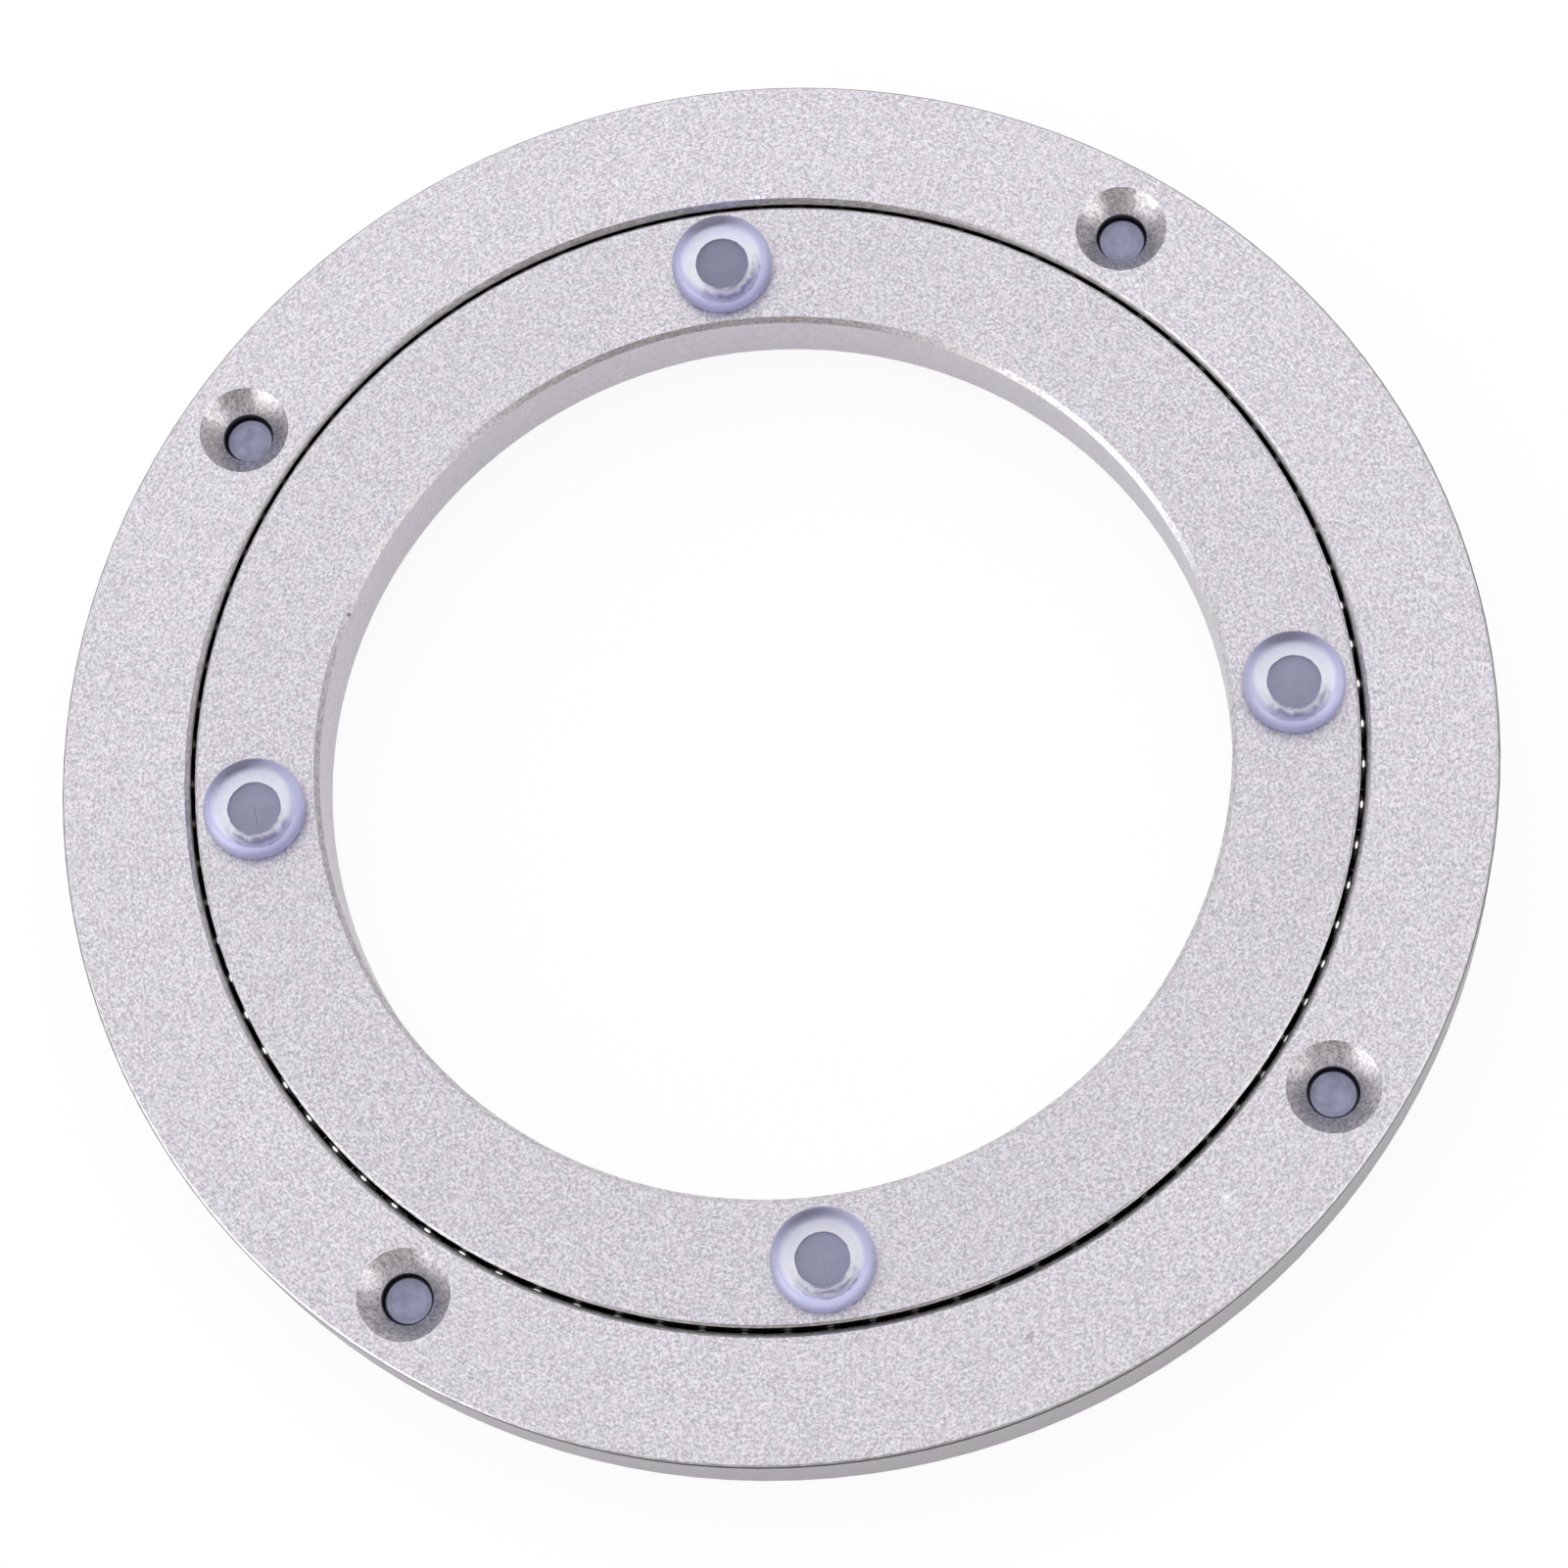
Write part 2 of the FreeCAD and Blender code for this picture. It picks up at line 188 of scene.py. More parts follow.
# Roughness of the metal, and how strongly its relief shows
FACE_ROUGHNESS = 0.42
CUT_ROUGHNESS = 0.37
COVERED_ROUGHNESS = 0.33
RELIEF_HEIGHT = 0.015 * MM
FACE_RELIEF = 0.30
SINK_RELIEF = 0.95
COVERED_RELIEF = 0.08

# Small knocks near the rings' upper faces: place in millimetres along x and y, radius in
# millimetres, colour, and share of that colour. The full middle and the ragged border are shares of
# the radius
BRIGHT_SCAR = (0.95, 0.95, 0.97, 1.0)
DARK_SCAR = (0.22, 0.20, 0.19, 1.0)
OUTER_SCARS = (
    ((32.7, -53.0), 0.55, BRIGHT_SCAR, 0.7), ((32.2, -52.4), 0.35, BRIGHT_SCAR, 0.4),
    ((10.3, 57.0), 0.30, BRIGHT_SCAR, 1.0), ((9.7, 57.1), 0.25, BRIGHT_SCAR, 0.9),
    ((10.9, 56.9), 0.25, BRIGHT_SCAR, 0.9), ((11.9, -61.9), 0.55, DARK_SCAR, 0.35),
)
INNER_SCARS = (
    ((-37.9, 23.2), 0.35, DARK_SCAR, 0.9), ((-46.0, -23.5), 0.30, BRIGHT_SCAR, 0.5),
)
SCAR_MIDDLE = 0.3
SCAR_RAGGED = 0.5
SCAR_HEIGHTS = (FACE - 0.8 * MM, FACE - 0.6 * MM)

# Balls: steel under a film of grease and painted shade, with a painted highlight: the bright spot
# that is seen down in the gap, which is narrower across the gap than along it
FILM_SCALE = 900.0
FILM_ROUGHNESS = (0.05, 0.12)
BALL_GREASE_SHADE_COLOURS = ((0.035, 0.03, 0.03, 1.0), (0.07, 0.065, 0.06, 1.0))
GLINT_COLOUR = (1.0, 0.99, 0.98, 1.0)
GLINT_BORDER = (0.24 * MM, 0.43 * MM)
GLINT_NARROWING = 1.7


# ---------------------------------------------------------------- looks of the pads

PLASTIC_IOR = 1.49

# How far the noises move on from one pad to the next
PAD_NOISE_STEP = 20.0 * MM

# Head: clear, blue where it is thick, and in its rim bluer and a little cloudy; faintly wavy
RIM_TINT_BORDER = (3.6 * MM, 4.2 * MM)
RIM_TINT = (0.60, 0.595, 0.95, 1.0)
RIM_CLEARNESS = 0.88
DEPTH_TINT = (0.42, 0.40, 0.72, 1.0)
DEPTH_DENSITY = 12.0
WAVE_SCALE = 1200.0
WAVE_ROUGHNESS = (0.02, 0.10)
WAVE_HEIGHT = 0.08 * MM
WAVE_RELIEF = 0.50

# Stem: frosted, its core grey-blue with painted shade, and darker in the first pad
MOTTLE_SCALE = 2400.0
STREAK_SCALE = 900.0
STEM_ROUGHNESS = 0.36
MOTTLE_HEIGHT = 0.02 * MM
MOTTLE_RELIEF = 0.3
CORE_SHADE_COLOURS = ((0.46, 0.485, 0.65, 1.0), (0.62, 0.645, 0.81, 1.0))
FIRST_CORE_SHADE = (0.30, 0.31, 0.48, 1.0)
FIRST_CORE_SHARE = 0.45

# Hairline that the mould left in the core, with the second pad's share and the other pads'
HAIRLINE_WIDTH = (-0.02 * MM, 0.02 * MM)
HAIRLINE_SOFT = 0.03 * MM
HAIRLINE_BEND = 0.04 * MM
HAIRLINE_REACH = (-1.5 * MM, 0.1 * MM)
HAIRLINE_FADE = 0.2 * MM
HAIRLINE_SHARES = (0.9, 0.25)
HAIRLINE_COLOUR = (0.24, 0.25, 0.35, 1.0)

# Free end, darkened by painted shade, with the ring that the mould left on it and its chamfer, which
# painted shade makes darker still
END_SHADE_COLOURS = ((0.30, 0.31, 0.47, 1.0), (0.42, 0.45, 0.64, 1.0))
MOULD_RING = (1.80 * MM, 1.84 * MM)
MOULD_RING_SOFT = 0.05 * MM
MOULD_RING_SHARE = 0.35
MOULD_RING_COLOUR = (0.18, 0.19, 0.28, 1.0)
LIP_BORDER = (STEM_RADIUS - 1.2 * STEM_CHAMFER, STEM_RADIUS - STEM_CHAMFER)
LIP_HEIGHTS = (-STEM_LENGTH + STEM_CHAMFER, -STEM_LENGTH + 2 * STEM_CHAMFER)
LIP_SHADE = (0.09, 0.09, 0.13, 1.0)

# Shelf: a silvery painted reflection, with painted shade in ragged arcs on one side
SHELF_BORDER = (SHELF_RADIUS - 0.02 * MM, SHELF_RADIUS)
SHELF_REFLECTION_COLOURS = ((0.78, 0.79, 0.88, 1.0), (0.95, 0.96, 1.0, 1.0))
ARC_SHADE_COLOUR = (0.24, 0.23, 0.34, 1.0)
ARC_SHADE_RAGGED = 0.30
ARC_SHADE_BORDER = (0.15, 1.05)
ARC_SHADE_WANDER = 0.12 * MM
ARC_SHADE_WAVES = 13.0 / MM
ARC_SHADE_VALLEY = 0.50


# ---------------------------------------------------------------- camera, studio and floor

# Camera, as fitted to the circles of the rings in the photograph
PHOTO_SIZE = 1601
FOCAL_PIXELS = 4928.9
SENSOR = 36.0
CLIP_START, CLIP_END = 0.01, 100.0
CAMERA_DISTANCE = 468.02 * MM
CAMERA_AZIMUTH = 5.8
CAMERA_ELEVATION = 71.84
CAMERA_ROLL = -18.285
CAMERA_PAN = -0.0063
CAMERA_TILT = -0.4547

# Studio: dark in front and on the right up to a height, and brightest overhead, a little away from
# the camera. The fades are ranges of a direction's parts along x, y and z
FRONT_FADE = (-0.50, -0.20)
RIGHT_FADE = (0.50, 0.90)
RIGHT_SHARE = 0.75
HEIGHT_FADE = (0.75, 0.93)
OVERHEAD_Y, OVERHEAD_Z = 0.423, 0.906
OVERHEAD_FADE = (0.80, 0.97)
PALE_LIGHT = 0.80
DARK_LIGHT = 0.36
OVERHEAD_LIGHT = 1.25
DARK_SIDE_COLOUR = (1.0, 0.93, 0.91, 1.0)

# Dark opening of the studio on the camera's side: height of its middle, the half angles where it is
# fully dark and where it ends, its light, and the share of it for rays that passed no clear plastic
OPENING_ELEVATION = 61.0
OPENING_CORE = 19.0
OPENING_EDGE = 30.0
OPENING_LIGHT = 0.04
OPENING_ON_METAL = 0.15

# Soft boxes: direction from the rings, distance, width, height and radiance
SOFT_BOXES = (
    ("left", (-0.91, -0.36, 0.15), 0.9, 0.78, 0.30, 2.5),
    ("right", (0.78, -0.57, 0.24), 0.9, 0.60, 0.26, 1.8),
)

# Floor: its colour for the light that it throws back, and for the camera a fixed white with a share
# of real shadow
FLOOR_SIZE = 6.0
FLOOR_GAP = 0.02 * MM
FLOOR_COLOUR = (0.93, 0.93, 0.93, 1.0)
FLOOR_SHADE = (0.14, 0.14, 0.14, 1.0)
FLOOR_GLOW = 0.895
FLOOR_BOUNCE = 0.30


# ---------------------------------------------------------------- small helpers

def add_object(name, data):
    """A new object in the scene."""
    item = bpy.data.objects.new(name, data)
    bpy.context.scene.collection.objects.link(item)
    return item


class Nodes:
    """Short names for the shader nodes that the materials are made of."""

    def __init__(self, tree):
        self.tree = tree

    def feed(self, socket, value):
        """Links an output to the socket, or sets the socket to a constant."""
        if isinstance(value, bpy.types.NodeSocket):
            self.tree.links.new(value, socket)
        else:
            socket.default_value = value

    def add(self, kind, inputs=(), **settings):
        """A new node with these settings, its inputs fed by name or by number."""
        node = self.tree.nodes.new(kind)
        for name, value in settings.items():
            setattr(node, name, value)
        for key, value in dict(inputs).items():
            self.feed(node.inputs[key], value)
        return node

    def math(self, operation, first, second=0.0):
        return self.add("ShaderNodeMath", {0: first, 1: second}, operation=operation).outputs[0]

    def plus(self, first, second):
        return self.math("ADD", first, second)

    def minus(self, first, second):
        return self.math("SUBTRACT", first, second)

    def times(self, first, second):
        return self.math("MULTIPLY", first, second)

    def length(self, first, second):
        """Length of a line with these two sides."""
        return self.math("SQRT", self.plus(self.times(first, first), self.times(second, second)))

    def ramp(self, value, border, to_low=0.0, to_high=1.0, smooth=False):
        """The value mapped from the border's ends to to_low and to_high, and held beyond them."""
        inputs = {
            "Value": value, "From Min": border[0], "From Max": border[1],
            "To Min": to_low, "To Max": to_high,
        }
        kind = "SMOOTHSTEP" if smooth else "LINEAR"
        node = self.add("ShaderNodeMapRange", inputs, clamp=True, interpolation_type=kind)
        return node.outputs["Result"]

    def within(self, value, border, smooth=False):
        """1 below the border and 0 above it."""
        return self.ramp(value, border, 1.0, 0.0, smooth)

    def band(self, value, ends, soft):
        """1 between the two ends, falling to 0 over soft on both sides."""
        low, high = ends
        rise = self.ramp(value, (low - soft, low))
        return self.times(rise, self.within(value, (high, high + soft)))

    def mix_colour(self, factor, first, second):
        """The first colour where the factor is 0 and the second where it is 1."""
        inputs = {0: factor, 6: first, 7: second}
        return self.add("ShaderNodeMix", inputs, data_type="RGBA").outputs[2]

    def mix_number(self, factor, first, second):
        """The first number where the factor is 0 and the second where it is 1."""
        inputs = {0: factor, 2: first, 3: second}
        return self.add("ShaderNodeMix", inputs, data_type="FLOAT").outputs[0]

    def combine(self, x, y, z):
        return self.add("ShaderNodeCombineXYZ", {"X": x, "Y": y, "Z": z}).outputs[0]

    def separate(self, vector):
        return self.add("ShaderNodeSeparateXYZ", {"Vector": vector}).outputs

    def place(self):
        """Position on the part, which turns with the body that it rides on."""
        return self.add("ShaderNodeTexCoord").outputs["Object"]

    def facing(self):
        """Surface normal on the part."""
        return self.add("ShaderNodeTexCoord").outputs["Normal"]

    def noise(self, vector, scale, detail=2.0, roughness=0.5):
        """A noise with scale features per metre."""
        inputs = {"Vector": vector, "Scale": scale, "Detail": detail, "Roughness": roughness}
        return self.add("ShaderNodeTexNoise", inputs, noise_dimensions="3D").outputs["Fac"]

    def spread(self, noise, low=0.0, high=1.0):
        """A noise mapped to low..high."""
        return self.ramp(noise, NOISE_RANGE, low, high)

    def bump(self, height, distance, strength):
        """A normal that follows a relief: height from 0 to 1, times the distance."""
        inputs = {"Height": height, "Distance": distance, "Strength": strength}
        return self.add("ShaderNodeBump", inputs).outputs["Normal"]


def new_material(name):
    """A new material, its nodes, and its Principled shader, which is linked to its output."""
    material = bpy.data.materials.new(name)
    material.use_nodes = True
    material.node_tree.nodes.clear()
    n = Nodes(material.node_tree)
    shader = n.add("ShaderNodeBsdfPrincipled")
    n.add("ShaderNodeOutputMaterial", {"Surface": shader.outputs["BSDF"]})
    return material, n, shader


def from_nearest(n, angle, count, first):
    """Radians from the nearest of count even places about the axis, one of which is at first."""
    pitch = 2 * math.pi / count
    shifted = n.plus(angle, pitch / 2 - math.radians(first) + 4 * math.pi)
    return n.minus(n.math("MODULO", shifted, pitch), pitch / 2)


def around_hole(n, radius, angle, hole_radius, hole_angle):
    """Distance from the nearest screw hole's axis, and the sine and cosine of the way from it."""
    local = from_nearest(n, angle, SCREW_HOLES, hole_angle)
    across = n.minus(n.times(radius, n.math("COSINE", local)), hole_radius)
    along = n.times(radius, n.math("SINE", local))
    distance = n.length(across, along)
    return distance, n.math("DIVIDE", along, distance), n.math("DIVIDE", across, distance)


def pad_number(n):
    """Number of the pad that the shader is on, counted from 0."""
    return n.add("ShaderNodeObjectInfo").outputs["Object Index"]


def pad_noise(n, scale):
    """A noise that is another one on each pad."""
    across, along, height = n.separate(n.place())
    moved = n.plus(along, n.times(pad_number(n), PAD_NOISE_STEP))
    return n.noise(n.combine(across, moved, height), scale)


# ---------------------------------------------------------------- materials

def ring_material(name, hole_radius, hole_angle, mouth_low, mouth_high, scars, dulling):
    """Blasted and anodised aluminium, with all that is on a ring: cut edges, walls and knocks."""
    material, n, shader = new_material(name)
    place = n.place()
    x, y, height = n.separate(place)
    radius, angle = n.length(x, y), n.math("ARCTAN2", y, x)
    upright = n.math("ABSOLUTE", n.separate(n.facing())[2])
    from_hole, sine, cosine = around_hole(n, radius, angle, hole_radius, hole_angle)

    # Blasted grain: round grains, and on the faces a faint pull along the turning direction
    grain = n.noise(place, GRAIN_SCALE, roughness=GRAIN_ROUGHNESS)
    along = n.times(n.times(angle, PULL_RADIUS), 1 / PULL)
    pulled = n.noise(n.combine(along, radius, height), PULLED_SCALE, roughness=GRAIN_ROUGHNESS)
    speck = n.plus(n.times(grain, ROUND_SHARE), n.times(pulled, 1 - ROUND_SHARE))
    tint = n.ramp(n.noise(place, TINT_SCALE, detail=1.0), TINT_RANGE, smooth=True)
    pale, dark = n.mix_colour(tint, *PALE_TINTS), n.mix_colour(tint, *DARK_TINTS)
    blasted = n.mix_colour(n.ramp(speck, GRAIN_RANGE), dark, pale)
    cloud = n.spread(n.noise(place, CLOUD_SCALE, detail=1.0), 0.0, CLOUD_SHARE)
    blasted = n.mix_colour(cloud, blasted, CLOUD_COLOUR)
    blasted = n.mix_colour(dulling, blasted, BLACK)

    # Tool-cut surfaces: chamfers and countersinks
    chamfer = n.band(upright, CHAMFER_SLOPES, SLOPE_SOFT)
    across, along = n.times(sine, RING_MARK_RADIUS), n.times(cosine, RING_MARK_RADIUS)
    rings = n.noise(n.combine(across, along, from_hole), RING_MARK_SCALE)
    across, along = n.times(sine, CHATTER_RADIUS), n.times(cosine, CHATTER_RADIUS)
    outwards = n.times(from_hole, 1 / CHATTER_STRETCH)
    chatter = n.noise(n.combine(across, along, outwards), CHATTER_SCALE)
    marks = n.plus(n.times(rings, RING_MARK_SHARE), n.times(chatter, 1 - RING_MARK_SHARE))
    cut = n.mix_colour(n.ramp(marks, MARK_RANGE), *MARK_COLOURS)
    turned = n.mix_colour(n.ramp(pulled, TURNED_RANGE), *TURNED_COLOURS)
    is_sink = n.times(n.within(from_hole, SINK_BORDER), n.within(upright, FACE_BORDER))
    colour = n.mix_colour(chamfer, blasted, turned)
    colour = n.mix_colour(is_sink, colour, cut)

    # Painted light on the metal where the pads cover it, which is also smoother
    covered = n.within(from_hole, COVERED_BORDER)
    covered = n.times(covered, n.band(height, (mouth_low, mouth_high), COVERED_SOFT))
    covered = n.times(covered, n.ramp(upright, SLOPE_BORDER))
    colour = n.mix_colour(covered, colour, UNDER_PAD_PAINTED_LIGHT)

    # The walls are smoother and duller than the faces
    colour = n.mix_colour(n.ramp(upright, WALL_BORDER, WALL_SHARE, 0.0), colour, WALL_COLOUR)

    # Painted shade darkens the walls of the screw holes, and painted shade with grease darkens those
    # that face across the gap
    colour = n.mix_colour(n.within(from_hole, HOLE_BORDER), colour, HOLE_WALL_SHADE)
    in_gap = n.band(radius, (SHOULDER_RADIUS - RACE_REACH, MOUTH_RADIUS + RACE_REACH), RACE_SOFT)
    in_gap = n.times(in_gap, n.within(upright, SLOPE_BORDER))
    inside = n.band(height, (UNDERSIDE + GREASE_SHADE_DEPTH, FACE - GREASE_SHADE_DEPTH), GREASE_SHADE_SOFT)
    colour = n.mix_colour(n.times(in_gap, inside), colour, GREASE_SHADE_COLOUR)

    # Painted shade makes the rim's wall duller still and gives its chamfer a dark edge
    colour = n.mix_colour(n.times(n.ramp(radius, RIM_BORDER), RIM_SHADE), colour, BLACK)
    rim_edge = n.times(chamfer, n.ramp(radius, RIM_EDGE_BORDER))
    colour = n.mix_colour(rim_edge, colour, RIM_EDGE_SHADE)

    # Knocks from use, near the upper face
    upper = n.ramp(height, SCAR_HEIGHTS)
    for (scar_x, scar_y), scar_radius, paint, share in scars:
        size = scar_radius * MM
        away = n.length(n.minus(x, scar_x * MM), n.minus(y, scar_y * MM))
        ragged = n.plus(away, n.spread(pulled, -SCAR_RAGGED * size, SCAR_RAGGED * size))
        knocked = n.ramp(ragged, (SCAR_MIDDLE * size, size), share, 0.0)
        colour = n.mix_colour(n.times(knocked, upper), colour, paint)

    n.feed(shader.inputs["Base Color"], colour)
    shader.inputs["Metallic"].default_value = 1.0
    machined = n.math("MAXIMUM", chamfer, is_sink)
    roughness = n.mix_number(machined, FACE_ROUGHNESS, CUT_ROUGHNESS)
    n.feed(shader.inputs["Roughness"], n.mix_number(covered, roughness, COVERED_ROUGHNESS))
    strength = n.mix_number(is_sink, FACE_RELIEF, SINK_RELIEF)
    strength = n.mix_number(covered, strength, COVERED_RELIEF)
    relief = n.mix_number(machined, speck, marks)
    n.feed(shader.inputs["Normal"], n.bump(relief, RELIEF_HEIGHT, strength))
    return material


def ball_material():
    """Bearing steel, dark with grease and painted shade but for a painted highlight atop each ball.
    """
    material, n, shader = new_material("greased_shaded_glinting_steel")
    place = n.place()
    x, y = n.separate(place)[:2]
    radius, angle = n.length(x, y), n.math("ARCTAN2", y, x)
    along = n.times(from_nearest(n, angle, BALL_COUNT, BALL_START_ANGLE), PITCH_RADIUS)
    across = n.times(n.minus(radius, PITCH_RADIUS), GLINT_NARROWING)
    glint = n.within(n.length(along, across), GLINT_BORDER, smooth=True)
    film = n.noise(place, FILM_SCALE)
    shaded_grease = n.mix_colour(film, *BALL_GREASE_SHADE_COLOURS)
    n.feed(shader.inputs["Base Color"], n.mix_colour(glint, shaded_grease, GLINT_COLOUR))
    shader.inputs["Metallic"].default_value = 1.0
    n.feed(shader.inputs["Roughness"], n.spread(film, *FILM_ROUGHNESS))
    return material


def pad_material():
    """Clear plastic, bluer in the rim and where it is thick."""
    material, n, shader = new_material("clear_plastic")
    across, along = n.separate(n.place())[:2]
    rim = n.ramp(n.length(across, along), RIM_TINT_BORDER, smooth=True)
    n.feed(shader.inputs["Base Color"], n.mix_colour(rim, WHITE, RIM_TINT))
    n.feed(shader.inputs["Transmission Weight"], n.ramp(rim, (0.0, 1.0), 1.0, RIM_CLEARNESS))
    shader.inputs["IOR"].default_value = PLASTIC_IOR
    waves = pad_noise(n, WAVE_SCALE)
    n.feed(shader.inputs["Roughness"], n.spread(waves, *WAVE_ROUGHNESS))
    n.feed(shader.inputs["Normal"], n.bump(waves, WAVE_HEIGHT, WAVE_RELIEF))
    depth = n.add("ShaderNodeVolumeAbsorption", {"Color": DEPTH_TINT, "Density": DEPTH_DENSITY})
    n.feed(n.tree.get_output_node("ALL").inputs["Volume"], depth.outputs["Volume"])
    return material


def stem_material():
    """The same plastic, frosted, with a silvery shelf of painted reflection on the metal."""
    material, n, shader = new_material("frosted_plastic")
    across, along, height = n.separate(n.place())
    from_axis = n.length(across, along)
    number = pad_number(n)
    mottle = pad_noise(n, MOTTLE_SCALE)
    streaks = pad_noise(n, STREAK_SCALE)

    # Core, grey-blue with painted shade, with its hairline
    core = n.mix_colour(streaks, *CORE_SHADE_COLOURS)
    in_first = n.ramp(number, (0.0, 1.0), FIRST_CORE_SHARE, 0.0)
    core = n.mix_colour(in_first, core, FIRST_CORE_SHADE)
    bent = n.plus(across, n.spread(mottle, -HAIRLINE_BEND, HAIRLINE_BEND))
    reach = n.band(along, HAIRLINE_REACH, HAIRLINE_FADE)
    hairline = n.times(n.band(bent, HAIRLINE_WIDTH, HAIRLINE_SOFT), reach)
    from_second = n.math("ABSOLUTE", n.minus(number, 1.0))
    clearness = n.ramp(from_second, (0.0, 1.0), *HAIRLINE_SHARES)
    core = n.mix_colour(n.times(hairline, clearness), core, HAIRLINE_COLOUR)

    # Free end, darkened by painted shade
    end = n.mix_colour(n.spread(streaks), *END_SHADE_COLOURS)
    moulded = n.times(n.band(from_axis, MOULD_RING, MOULD_RING_SOFT), MOULD_RING_SHARE)
    end = n.mix_colour(moulded, end, MOULD_RING_COLOUR)
    lip = n.times(n.ramp(from_axis, LIP_BORDER), n.within(height, LIP_HEIGHTS))
    end = n.mix_colour(lip, end, LIP_SHADE)
    core = n.mix_colour(n.within(height, (-STEM_LENGTH, -CORE_DEPTH)), core, end)

    # Shelf: a painted reflection, with painted shade in ragged arcs on one side
    shelf = n.ramp(from_axis, SHELF_BORDER)
    side = n.ramp(n.math("DIVIDE", along, from_axis), (-1.0, 1.0), 1.0, -1.0)
    arc_shade = n.plus(side, n.spread(streaks, -ARC_SHADE_RAGGED, ARC_SHADE_RAGGED))
    arc_shade = n.ramp(arc_shade, ARC_SHADE_BORDER, smooth=True)
    wander = n.plus(from_axis, n.spread(streaks, -ARC_SHADE_WANDER, ARC_SHADE_WANDER))
    lines = n.ramp(n.math("SINE", n.times(wander, ARC_SHADE_WAVES)), (-1.0, 1.0), ARC_SHADE_VALLEY, 1.0)
    reflection = n.mix_colour(streaks, *SHELF_REFLECTION_COLOURS)
    reflection = n.mix_colour(n.times(arc_shade, lines), reflection, ARC_SHADE_COLOUR)

    n.feed(shader.inputs["Base Color"], n.mix_colour(shelf, core, reflection))
    n.feed(shader.inputs["Metallic"], shelf)
    shader.inputs["Roughness"].default_value = STEM_ROUGHNESS
    shader.inputs["IOR"].default_value = PLASTIC_IOR
    n.feed(shader.inputs["Normal"], n.bump(mottle, MOTTLE_HEIGHT, MOTTLE_RELIEF))
    return material


# ---------------------------------------------------------------- the part

def arc(centre_radius, centre_height, radius, start, end, steps):
    """Points of an arc of a turned outline; its angles count from upright outwards."""
    turns = [math.radians(start + (end - start) * step / steps) for step in range(steps + 1)]
    return [
        (centre_radius + radius * math.sin(turn), centre_height + radius * math.cos(turn))
        for turn in turns
    ]


def head_outline():
    """A pad's head: flat middle, dome, rounded edge, seat, and the cone in the hole's mouth."""
    depth = ((PAD_RADIUS ** 2 - PAD_FLAT_RADIUS ** 2) / PAD_CROWN - PAD_CROWN) / 2
    dome = math.hypot(PAD_RADIUS, depth)
    dome_centre = PAD_HEIGHT - PAD_CROWN - depth
    edge_centre = PAD_RADIUS - PAD_EDGE_RADIUS
    meeting = math.degrees(math.asin(edge_centre / (dome - PAD_EDGE_RADIUS)))
    edge_height = dome_centre + (dome - PAD_EDGE_RADIUS) * math.cos(math.radians(meeting))
    flat = math.degrees(math.asin(PAD_FLAT_RADIUS / dome))
    seat, seat_centre = PAD_SEAT_RADIUS, PAD_RADIUS - PAD_SEAT_RADIUS
    root = -PAD_MOUTH_DEPTH - SEAT_SINK
    return (
        [(0.0, PAD_HEIGHT)]
        + arc(0.0, dome_centre, dome, flat, meeting, DOME_STEPS)[:-1]
        + arc(edge_centre, edge_height, PAD_EDGE_RADIUS, meeting, 90.0, EDGE_STEPS)
        + arc(seat_centre, seat, seat, 90.0, PAD_SEAT_ANGLE, SEAT_STEPS)
        + [(PAD_RADIUS - PAD_SEAT_INSET, -SEAT_SINK), (PAD_MOUTH_RADIUS + SEAT_SINK, -SEAT_SINK)]
        + [(HOLE_RADIUS + SEAT_SINK, root), (0.0, root)]
    )


def stem_outline():
    """A pad's stem, from the core and shelf inside the head down to its chamfered end."""
    return [
        (0.0, -CORE_DEPTH), (CORE_RADIUS, -CORE_DEPTH), (SHELF_RADIUS, SHELF_HEIGHT),
        (PAD_MOUTH_RADIUS + SEAT_SINK, SHELF_HEIGHT), (PAD_MOUTH_RADIUS + SEAT_SINK, -SEAT_SINK),
        (STEM_RADIUS, -PAD_MOUTH_DEPTH), (STEM_RADIUS, -STEM_LENGTH + STEM_CHAMFER),
        (STEM_RADIUS - STEM_CHAMFER, -STEM_LENGTH), (0.0, -STEM_LENGTH),
    ]


def turned_mesh(name, outline):
    """A mesh turned from an outline of radius and height, closed where the radius is zero."""
    form = bmesh.new()
    turns = [2 * math.pi * i / PAD_SIDES for i in range(PAD_SIDES)]
    rows = []
    for radius, height in outline:
        rows.append([
            form.verts.new((radius * math.cos(turn), radius * math.sin(turn), height))
            for turn in (turns if radius else turns[:1])
        ])
    for upper, lower in zip(rows, rows[1:]):
        for i in range(PAD_SIDES):
            j = (i + 1) % PAD_SIDES
            if len(upper) == 1:
                form.faces.new((upper[0], lower[i], lower[j]))
            elif len(lower) == 1:
                form.faces.new((upper[i], lower[0], upper[j]))
            else:
                form.faces.new((upper[i], lower[i], lower[j], upper[j]))
    bmesh.ops.recalc_face_normals(form, faces=form.faces)
    for face in form.faces:
        face.smooth = True
    for edge in form.edges:
        edge.smooth = edge.calc_face_angle(0.0) < math.radians(SHARP_ANGLE)
    mesh = bpy.data.meshes.new(name)
    form.to_mesh(mesh)
    form.free()
    return mesh


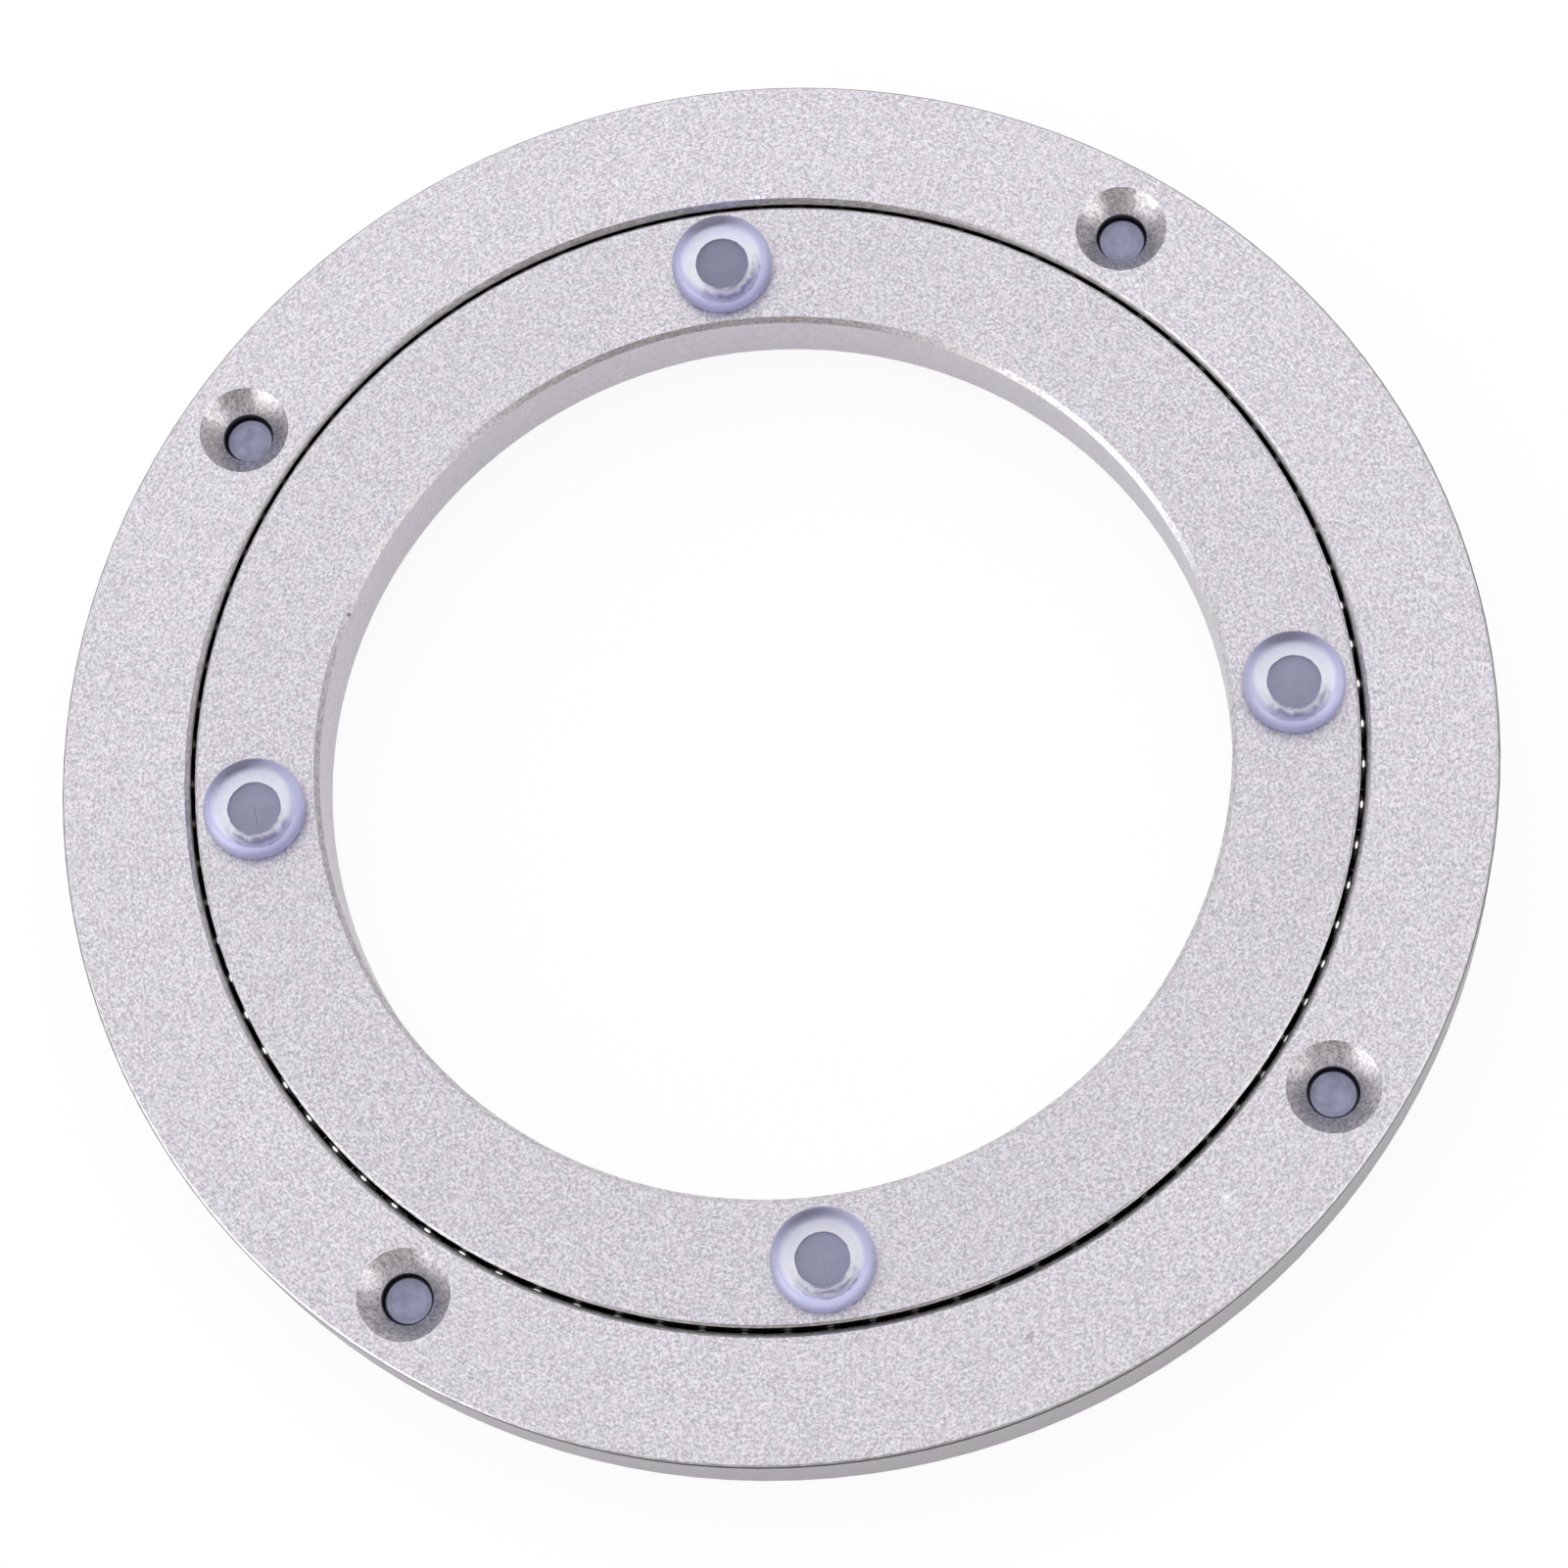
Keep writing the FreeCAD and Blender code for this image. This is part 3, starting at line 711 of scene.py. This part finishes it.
def make_pads(clear, frosted):
    """A clear head and a frosted stem in place of each plain pad."""
    parts = (("head", head_outline(), clear), ("stem", stem_outline(), frosted))
    for side, body, radius, first, seat, lean in (
        ("top", "inner_body", INNER_HOLE_RADIUS, INNER_HOLE_ANGLE, FACE, 0.0),
        ("foot", "outer_body", OUTER_HOLE_RADIUS, OUTER_HOLE_ANGLE, UNDERSIDE, math.pi),
    ):
        for number, turn in enumerate(PAD_TURNS):
            node = "%s_pad_%d" % (side, number + 1)
            angle = math.radians(first + 360.0 / SCREW_HOLES * number)
            for part, outline, material in parts:
                name = "%s_%s" % (node, part)
                pad = add_object(name, turned_mesh(name, outline))
                pad.data.materials.append(material)
                pad.location = (radius * math.cos(angle), radius * math.sin(angle), seat)
                pad.rotation_euler = (lean, 0.0, math.radians(turn))
                pad.pass_index = number
                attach(pad, body)
                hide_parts(node)


def dress(node, material):
    """Gives a CAD node its material."""
    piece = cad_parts[node]
    if not piece.material_slots:
        piece.data.materials.append(material)
    for slot in piece.material_slots:
        slot.material = material


# ---------------------------------------------------------------- stage, light and camera

def make_floor():
    """White floor that reaches past every view and keeps the object's shadow."""
    mesh = bpy.data.meshes.new("floor")
    form = bmesh.new()
    bmesh.ops.create_grid(form, x_segments=1, y_segments=1, size=FLOOR_SIZE)
    form.to_mesh(mesh)
    form.free()
    floor = add_object("floor", mesh)
    floor.location.z = -FLOOR_GAP
    material, n, shader = new_material("white_floor")
    shader.inputs["Roughness"].default_value = 1.0
    shader.inputs["Specular IOR Level"].default_value = 0.0
    seen = n.add("ShaderNodeLightPath").outputs["Is Camera Ray"]
    n.feed(shader.inputs["Base Color"], n.mix_colour(seen, FLOOR_COLOUR, FLOOR_SHADE))
    shader.inputs["Emission Color"].default_value = WHITE
    n.feed(shader.inputs["Emission Strength"], n.mix_number(seen, FLOOR_BOUNCE, FLOOR_GLOW))
    mesh.materials.append(material)


def make_world():
    """A pale studio round the object, darker in front and on the right, and brightest overhead."""
    world = bpy.data.worlds.new("studio")
    bpy.context.scene.world = world
    world.use_nodes = True
    world.node_tree.nodes.clear()
    n = Nodes(world.node_tree)
    x, y, z = n.separate(n.add("ShaderNodeTexCoord").outputs["Generated"])
    front = n.within(y, FRONT_FADE, smooth=True)
    right = n.ramp(x, RIGHT_FADE, 0.0, RIGHT_SHARE, smooth=True)
    low = n.within(z, HEIGHT_FADE, smooth=True)
    shade = n.times(n.math("MAXIMUM", front, right), low)
    leaning = n.plus(n.times(y, OVERHEAD_Y), n.times(z, OVERHEAD_Z))
    above = n.ramp(leaning, OVERHEAD_FADE, smooth=True)
    light = n.mix_number(above, n.mix_number(shade, PALE_LIGHT, DARK_LIGHT), OVERHEAD_LIGHT)

    # The opening on the camera's side is dark for what is seen through clear plastic, so that the
    # pads' edges show, and the metal mirrors a studio almost without it
    azimuth, elevation = math.radians(CAMERA_AZIMUTH), math.radians(OPENING_ELEVATION)
    towards = n.minus(n.times(x, math.sin(azimuth)), n.times(y, math.cos(azimuth)))
    towards = n.times(towards, math.cos(elevation))
    towards = n.plus(towards, n.times(z, math.sin(elevation)))
    border = (math.cos(math.radians(OPENING_EDGE)), math.cos(math.radians(OPENING_CORE)))
    opening = n.ramp(towards, border, smooth=True)
    path = n.add("ShaderNodeLightPath").outputs
    through = n.ramp(path["Transmission Depth"], (0.0, 1.0), OPENING_ON_METAL, 1.0)
    light = n.mix_number(n.times(opening, through), light, OPENING_LIGHT)

    # What the camera itself sees of the studio has one strength
    background = n.add("ShaderNodeBackground", {
        "Color": n.mix_colour(shade, WHITE, DARK_SIDE_COLOUR),
        "Strength": n.mix_number(path["Is Camera Ray"], light, 1.0),
    })
    n.add("ShaderNodeOutputWorld", {"Surface": background.outputs["Background"]})


def make_lights():
    """Soft boxes near the horizon, turned to the rings; the rest of the light is the studio's."""
    for name, direction, distance, width, height, radiance in SOFT_BOXES:
        lamp = bpy.data.lights.new(name, "AREA")
        lamp.shape = "RECTANGLE"
        lamp.size, lamp.size_y = width, height
        lamp.energy = radiance * math.pi * width * height
        light = add_object(name, lamp)
        towards = Vector(direction).normalized()
        light.location = Vector((0.0, 0.0, FACE)) + towards * distance
        light.rotation_mode = "QUATERNION"
        light.rotation_quaternion = (-towards).to_track_quat("-Z", "Y")


def make_camera():
    """The photograph's view."""
    data = bpy.data.cameras.new("camera")
    data.sensor_width = SENSOR
    data.lens = FOCAL_PIXELS / PHOTO_SIZE * SENSOR
    data.clip_start, data.clip_end = CLIP_START, CLIP_END
    camera = add_object("camera", data)
    azimuth, elevation = math.radians(CAMERA_AZIMUTH), math.radians(CAMERA_ELEVATION)
    back = Vector((
        math.sin(azimuth) * math.cos(elevation),
        -math.cos(azimuth) * math.cos(elevation),
        math.sin(elevation),
    ))
    pan = Quaternion((0.0, 1.0, 0.0), math.radians(CAMERA_PAN))
    tilt = Quaternion((1.0, 0.0, 0.0), math.radians(CAMERA_TILT))
    roll = Quaternion((0.0, 0.0, 1.0), math.radians(CAMERA_ROLL))
    camera.location = Vector((0.0, 0.0, FACE)) + back * CAMERA_DISTANCE
    camera.rotation_mode = "QUATERNION"
    camera.rotation_quaternion = (-back).to_track_quat("-Z", "Y") @ pan @ tilt @ roll
    bpy.context.scene.camera = camera


# ---------------------------------------------------------------- the scene

bpy.context.scene.view_settings.view_transform = "Standard"
make_camera()
make_world()
make_lights()
make_floor()

outer_metal = ring_material(
    "outer_aluminium", OUTER_HOLE_RADIUS, OUTER_HOLE_ANGLE, UNDERSIDE, UNDERSIDE + PAD_MOUTH_DEPTH,
    OUTER_SCARS, OUTER_DULLING,
)
inner_metal = ring_material(
    "inner_aluminium", INNER_HOLE_RADIUS, INNER_HOLE_ANGLE, FACE - PAD_MOUTH_DEPTH, FACE,
    INNER_SCARS, INNER_DULLING,
)
dress("outer_ring", outer_metal)
dress("ball_fill_plug", outer_metal)
dress("inner_ring", inner_metal)
dress("bearing_balls", ball_material())
make_pads(pad_material(), stem_material())
